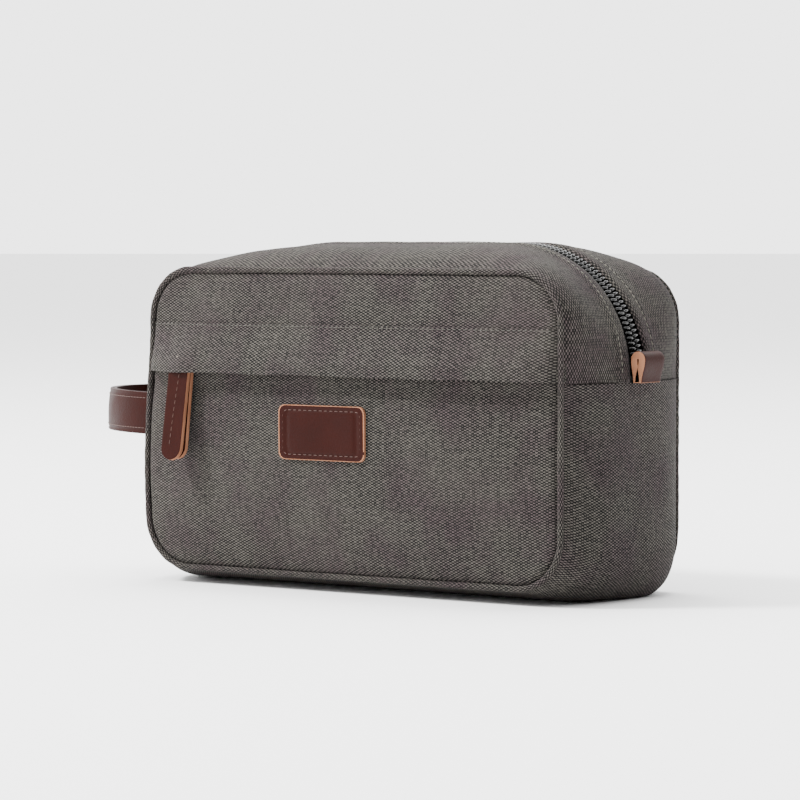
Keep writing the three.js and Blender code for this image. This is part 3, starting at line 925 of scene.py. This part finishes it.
def make_ring(name, width, length, matrix, body, node_name):
    """A rectangular wire ring with round corners, in local X and Y, hanging along -Y."""
    model_wire = 0.15
    wire_radius = 0.7 * MM
    bpy.ops.object.select_all(action="DESELECT")
    bpy.ops.mesh.primitive_torus_add(major_segments=48, minor_segments=10, major_radius=1,
                                     minor_radius=model_wire)
    ring = bpy.context.object
    ring.name = name
    for v in ring.data.vertices:
        turn = math.atan2(v.co.y, v.co.x)
        c, s = math.cos(turn), math.sin(turn)
        x = math.copysign(abs(c) ** 0.45, c) * width / 2
        y = math.copysign(abs(s) ** 0.45, s) * length / 2
        grow = (math.hypot(v.co.x, v.co.y) - 1) / model_wire * wire_radius
        v.co = Vector((x + c * grow, y + s * grow, v.co.z / model_wire * wire_radius))
    ring.data.transform(matrix)
    smooth(paint(ring, METAL_LOOK), 80)
    dress(ring, body, "zip_metal", node_name)


# ---------- leather ----------

def make_pull(name, width, length, matrix, body, node_name, spread, lean):
    """Two leather layers of a folded strip, joined over the ring. Local -Y is down and +Z faces out."""
    wall = 2.3 * MM
    radius = width / 2
    layers = []
    for layer, way in (("front", 1), ("back", -1)):
        def place(s, t, way=way):
            down = (1 - t) / 2
            reach = length * down
            half = radius
            if reach > length - radius:
                half = math.sqrt(max(radius ** 2 - (reach - length + radius) ** 2, (0.12 * radius) ** 2))
            fold = math.sqrt(max(0, 1 - (1 - min(reach / (3.4 * MM), 1)) ** 2))
            z = way * (0.05 * MM + spread * down + wall) * fold
            return Vector((s * half, -reach, z + lean * down))

        piece = cloth_grid(f"{name}_{layer}", 14, 64, place, unwoven)
        face_up(piece, lambda c, way=way: Vector((0, 0, way)))
        paint(piece, LEATHER_LOOK, CUT_LOOK)
        layers.append(thicken(piece, wall, 0.3 * MM, rim=1, segments=2, angle=60))
    pull = join(name, layers)
    pull.data.transform(matrix)
    smooth(pull, 50)
    dress(pull, body, "leather", node_name)

    def line(travelled):
        reach = travelled + 5 * MM
        if reach > length - 6 * MM:
            return None
        down = reach / length
        spot = Vector((0, -reach, spread * down + wall + 0.1 * MM + lean * down))
        return matrix @ spot, (matrix.to_3x3() @ Vector((0, 0, 1))).normalized()

    stitch_row(f"{name}_stitches", line, body, "leather", BROWN_THREAD_LOOK, pitch=3.4 * MM)


def make_patch():
    centre = (patch_low + patch_high) / 2
    half_w = (patch_high.x - patch_low.x) / 2
    half_h = (patch_high.z - patch_low.z) / 2
    corner = 3.6 * MM
    wall = 1.7 * MM
    inset = 2.6 * MM
    rounds = 96

    def face(spot, lift):
        x, z = centre.x + spot.x, centre.z + spot.y
        return Vector((x, lift - (panel_y(x, z, FRONT_BULGE) + wall - 0.25 * MM), z))

    def place(s, t):
        out = (t + 1) / 2
        turn = (s + 1) / 2 % 1
        spot = round_path(half_w, half_h, corner, turn * round_length(half_w, half_h, corner))[0]
        return face(spot * out, 0.35 * MM * dip((1 - out) * half_h - inset, 0.7 * MM))

    piece = cloth_grid("blank_leather_patch", rounds, 44, place, unwoven)
    paint(piece, LEATHER_LOOK, CUT_LOOK)
    for polygon in piece.data.polygons[1 - rounds:]:
        polygon.material_index = 1
    mend(piece)
    face_up(piece, facing_front)
    thicken(piece, wall, 0.3 * MM, rim=1)
    smooth(piece, 50)
    dress(piece, "base", "leather", "leather_patch")

    sewn = (half_w - inset, half_h - inset, corner - 1.4 * MM)
    total = round_length(half_w, half_h, corner) - 8 * inset

    def line(travelled):
        if travelled > total:
            return None
        spot = round_path(*sewn, travelled / total % 1 * round_length(*sewn))[0]
        return face(spot, 0.15 * MM), Vector((0, -1, 0))

    stitch_row("patch_stitches", line, "base", "leather", BROWN_THREAD_LOOK, pitch=3.2 * MM)


def make_end_tab():
    """The folded strap over the zip's end: a loop seen from its cut side."""
    wall = 3.8 * MM
    half = (tab_high.y - tab_low.y) / 2
    centre_y = (tab_low.y + tab_high.y) / 2
    inner_x = GUSSET_HALF + 1.6 * MM
    loop = (tab_high.x - inner_x) / 2 + 0.7 * MM
    hub = Vector((inner_x + loop, 0, tab_high.z - loop))
    leg = tab_high.z - SIDE_SEAM - loop
    bend = math.pi * loop / 2

    def place(s, t):
        side = 1 if s > 0 else -1
        into = abs(s) * (leg + bend)
        if into <= bend:
            turn = into / loop
            x, z = hub.x + side * loop * math.sin(turn), hub.z + loop * math.cos(turn)
        else:
            pinch = (0.54 if side > 0 else 0.32) * ramp(into - bend, 0, leg)
            x, z = hub.x + side * loop * (1 - pinch), hub.z - (into - bend)
        return Vector((x, centre_y + t * half, z))

    piece = cloth_grid("zip_end_leather_tab", 60, 8, place, unwoven)
    face_up(piece, lambda c: Vector((c.x - hub.x, 0, c.z - hub.z + 2 * MM)))
    paint(piece, LEATHER_LOOK, CUT_LOOK)
    thicken(piece, wall, 0.3 * MM, rim=1)
    smooth(piece, 50)
    dress(piece, "base", "leather", "zip_end_tab")


def make_handle():
    """The side handle: two leather layers bowed out between the front and back seams."""
    half_h = (strap_high.z - strap_low.z) / 2
    root = -(HALF - 0.5 * MM)
    bow = root - strap_low.x
    half = DEPTH - 1.5 * MM
    wall = 1.6 * MM

    def spot(turn, t, deep):
        """The point at a turn round the bow, t up its height and deep out from its middle line."""
        x = root - (bow + deep) * math.sin(turn) ** 0.92
        z = STRAP_LEVEL + t * half_h + 1.2 * MM * math.sin(turn)
        return Vector((x, -(half + deep) * math.cos(turn), z))

    for word, outer in (("outer", True), ("inner", False)):
        def place(s, t, outer=outer):
            groove = 0.3 * MM * dip((1 - abs(t)) * half_h - 1.7 * MM, 0.45 * MM)
            deep = 0.5 * MM * (1 - t * t) - groove if outer else -wall - 0.1 * MM
            return spot(math.pi * (s + 1) / 2, t, deep)

        piece = cloth_grid(f"handle_{word}_leather", 110, 40, place, unwoven)
        face_up(piece, lambda c: Vector((c.x - root, c.y, 0)))
        paint(piece, LEATHER_LOOK, LEATHER_LOOK)
        thicken(piece, wall, 0.4 * MM, rim=1)
        smooth(piece, 50)
        dress(piece, SEWN_STRAP, "leather", f"handle_{word}_layer")

    end = 0.06
    for word, t in (("upper", 0.72), ("lower", -0.72)):
        def line(travelled, t=t):
            turn = travelled / (0.8 * (bow + half)) + end
            if turn > math.pi - end:
                return None
            return spot(turn, t, 0.35 * MM), Vector((-math.sin(turn), -math.cos(turn), 0))

        stitch_row(f"handle_stitches_{word}", line, SEWN_STRAP, "leather", BROWN_THREAD_LOOK, pitch=3.3 * MM)


# ---------- lining and inside ----------

LINING_IN = 4.5 * MM


def make_lining():
    inner_half = HALF - LINING_IN
    floor = BOTTOM + LINING_IN
    corner = CORNER - LINING_IN

    def half_at(z):
        into = max(floor + corner - z, 0)
        return inner_half - corner + math.sqrt(max(corner ** 2 - into ** 2, 0))

    def tub(s, t):
        z = floor + (FOLD - 1 * MM - floor) * ((t + 1) / 2) ** 1.4
        turn = math.pi * s
        c, k = math.cos(turn), math.sin(turn)
        x = math.copysign(abs(c) ** 0.22, c) * half_at(z)
        y = math.copysign(abs(k) ** 0.22, k) * (DEPTH - LINING_IN)
        crease = 0.8 * MM * ripple(x * 1.2 + y, z, 38, 6.6)
        return Vector((x - math.copysign(abs(crease), x), y - math.copysign(abs(crease), y), z))

    piece = cloth_grid("lining_tub", 220, 50, tub, lambda s, t: (s * 0.34, t * 0.06))
    mend(piece)
    face_up(piece, lambda c: Vector((-c.x, -c.y, 0)))
    alone(piece)
    bpy.ops.object.mode_set(mode="EDIT")
    bpy.ops.mesh.select_all(action="DESELECT")
    bpy.ops.object.mode_set(mode="OBJECT")
    for edge in piece.data.edges:
        heights = [piece.data.vertices[i].co.z for i in edge.vertices]
        edge.select = max(heights) < floor + 0.05 * MM
    bpy.ops.object.mode_set(mode="EDIT")
    bpy.ops.mesh.edge_face_add()
    bpy.ops.mesh.inset(thickness=6 * MM)
    bpy.ops.object.mode_set(mode="OBJECT")
    lining_sheet(piece)
    dress(piece, "base", "lining", "lining_lower")


def make_hood(word, side, fold):
    """The upper lining on one side: up the wall from under the fold, then over towards the zip."""
    wall = FOLD - 8 * MM
    flat = HALF - LINING_IN - CORNER
    deep = DEPTH - LINING_IN
    bend = 0.45

    def place(s, t):
        share = (t + 1) / 2
        if share < bend:
            z = wall + (TOP - LINING_IN - wall) * ease(share / bend)
            into = max(z - (TOP - CORNER), 0)
            width = flat + math.sqrt(max(CORNER ** 2 - into ** 2, 0))
            return Vector((s * width * 0.985, side * (deep - 0.5 * MM), z))
        over = (share - bend) / (1 - bend)
        y = side * (deep + (STRIP_EDGE + 6 * MM - deep) * over)
        z = TOP - LINING_IN + 6 * MM * math.sin(over * math.pi / 2)
        return Vector((s * flat, y, z + 0.5 * MM * ripple(s, over, 3, side)))

    piece = cloth_grid(f"{word}_upper_lining", 90, 40, place, lambda s, t: (s * 0.12, t * 0.03))
    face_up(piece, lambda c: Vector((0, -side, -1)))
    lining_sheet(piece)
    dress(piece, fold, "lining", f"lining_upper_{word}")


def make_inside():
    piece = panel_grid("pocket_back_cloth", -1, BOTTOM + 3 * MM, FOLD - 3 * MM, 0.5 * MM,
                       lambda x, z: -2.2 * MM, columns=60, rows=30)
    lining_sheet(piece, POCKET_WALL, angle=60)
    dress(piece, "base", "lining", "pocket_back_panel")

    slip_low, slip_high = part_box("slip_pocket")
    half = (slip_high.x - slip_low.x) / 2

    def place(s, t):
        z = slip_low.z + (slip_high.z - slip_low.z) * (t + 1) / 2
        belly = 2.2 * MM * (1 - s * s) * ramp(t, -1, 0.9)
        hem = hem_step(z, slip_high.z, 8 * MM, 0.5 * MM)
        return Vector((s * half, slip_low.y - belly - hem, z))

    slip = cloth_grid("inner_slip_pocket", 50, 40, place, lambda s, t: (s * half, t * 0.036))
    face_up(slip, facing_front)
    lining_sheet(slip, POCKET_WALL, 0.15 * MM)
    dress(slip, "base", "lining", "slip_pocket")
    paint(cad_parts["base_board"], BOARD_LOOK)


# ---------- the stage ----------

def studio_light():
    """A soft room: bright behind, above and to the left, dimmer to the right."""
    world = bpy.data.worlds.new("studio")
    bpy.context.scene.world = world
    world.use_nodes = True
    tree = world.node_tree
    side = node(tree, "ShaderNodeVectorMath", operation="DOT_PRODUCT")
    side.inputs[1].default_value = Vector((-0.75, 0.35, 0.56)).normalized()
    wire(tree, texture_place(tree, "Generated"), side.inputs[0])
    share = node(tree, "ShaderNodeMapRange", interpolation_type="SMOOTHSTEP")
    set_inputs(share, {"From Min": -0.6, "From Max": 0.6, "To Min": 0.12, "To Max": 3.6})
    wire(tree, side.outputs["Value"], share.inputs["Value"])
    wire(tree, share.outputs[0], tree.nodes["Background"].inputs["Strength"])
    tree.nodes["Background"].inputs["Color"].default_value = (1, 1, 1, 1)


def make_stage():
    bpy.ops.object.select_all(action="DESELECT")
    bpy.ops.mesh.primitive_plane_add(size=90, location=(0, 0, 0))
    floor = bpy.context.object
    floor.name = "pale_floor"
    material, _, shader = start_material("pale_floor_paint", 0.9, specular=0.1)
    shader.inputs["Base Color"].default_value = (0.93, 0.93, 0.93, 1)
    paint(floor, material)

    lights = (
        ("key", (-1.5, -1.5, 2.6), 0.6, 210),
        ("top", (-0.4, 0.6, 2.6), 1.4, 70),
    )
    for name, place, size, power in lights:
        light = bpy.data.lights.new(name, "AREA")
        light.size = size
        light.energy = power
        lamp = bpy.data.objects.new(name, light)
        lamp.location = place
        aim = Vector((0, 0, 0.08)) - Vector(place)
        lamp.rotation_euler = aim.to_track_quat("-Z", "Y").to_euler()
        bpy.context.scene.collection.objects.link(lamp)


def make_camera():
    azimuth, down = math.radians(36.2), math.radians(2.61)
    data = bpy.data.cameras.new("camera")
    data.sensor_width = 36
    data.lens = 166.5
    data.clip_start, data.clip_end = 0.1, 30
    camera = bpy.data.objects.new("camera", data)
    level = math.cos(down)
    look = Vector((-math.sin(azimuth) * level, math.cos(azimuth) * level, -math.sin(down)))
    camera.location = (1.116, -1.532, 0.182)
    camera.rotation_euler = look.to_track_quat("-Z", "Y").to_euler()
    bpy.context.scene.collection.objects.link(camera)
    bpy.context.scene.camera = camera


def make_pocket_pull():
    """The pocket slider faces the front, with its pull hanging over the pocket."""
    face_front = Matrix.Rotation(math.pi / 2, 4, "X")
    pull_y = -(panel_y(PULL_X, FLAP_EDGE, FRONT_BULGE) + 3.2 * MM)
    make_slider("pocket_slider_metal", 11 * MM, 8.6 * MM, 1.4 * MM,
                Matrix.Translation((PULL_X, coil_low.y - 0.2 * MM, ZIP_LEVEL)) @ face_front,
                "pocket_slider", "pocket_slider")
    make_ring("pocket_ring_metal", 8 * MM, 6.5 * MM,
              Matrix.Translation((PULL_X, pull_y + 0.3 * MM, PULL_TOP + 0.6 * MM)) @ face_front,
              "pocket_pull", "pocket_pull_ring")
    make_pull("pocket_leather_pull", pull_high.x - pull_low.x, PULL_TOP - pull_low.z,
              Matrix.Translation((PULL_X, pull_y, PULL_TOP)) @ face_front,
              "pocket_pull", "pocket_pull_leather", 0.9 * MM, 7 * MM)


def make_main_pull():
    """The main slider lies on the chain at the left end, with its pull hanging inside the handle."""
    hub = Vector((-(GUSSET_HALF - CROWN_CORNER), 0, SIDE_SEAM))
    middle = (slider_low + slider_high) / 2
    lean = math.atan2(middle.z - hub.z, hub.x - middle.x)
    face_left = Matrix.Rotation(lean - math.pi / 2, 4, "Y")
    on_chain = Matrix.Translation((0, 0, CROWN_CORNER + 1.1 * MM))
    make_slider("main_slider_metal", 15 * MM, 12 * MM, 1.6 * MM,
                Matrix.Translation(hub) @ face_left @ on_chain, "main_slider", "main_slider")
    top = Vector((hang_high.x - 2.6 * MM, 0, hang_high.z))
    hang_left = Matrix.Rotation(-math.pi / 2, 4, "Z") @ Matrix.Rotation(math.pi / 2, 4, "X")
    make_ring("main_ring_metal", 8 * MM, 8 * MM,
              Matrix.Translation(top + Vector((0.2 * MM, 0, 3 * MM))) @ hang_left,
              "main_pull", "main_pull_ring")
    make_pull("main_leather_pull", hang_high.y - hang_low.y, hang_high.z - hang_low.z,
              Matrix.Translation(top) @ hang_left, "main_pull", "main_pull_leather", 0.5 * MM, 0.0)


make_camera()
studio_light()
make_stage()
make_upper_front()
make_pocket_panel()
make_flap()
make_back()
make_base_gusset()
for word, side, fold in (("front", -1, FRONT_FOLD), ("back", 1, BACK_FOLD)):
    make_strip(word, side, fold)
    seam_roll(word, side, fold)
    make_main_zip(word, side, fold)
for word, side in (("lower", -1), ("upper", 1)):
    make_pocket_zip(word, side)
make_patch()
make_end_tab()
make_handle()
make_lining()
for word, side, fold in (("front", -1, FRONT_FOLD), ("back", 1, BACK_FOLD)):
    make_hood(word, side, fold)
make_inside()
make_pocket_pull()
make_main_pull()
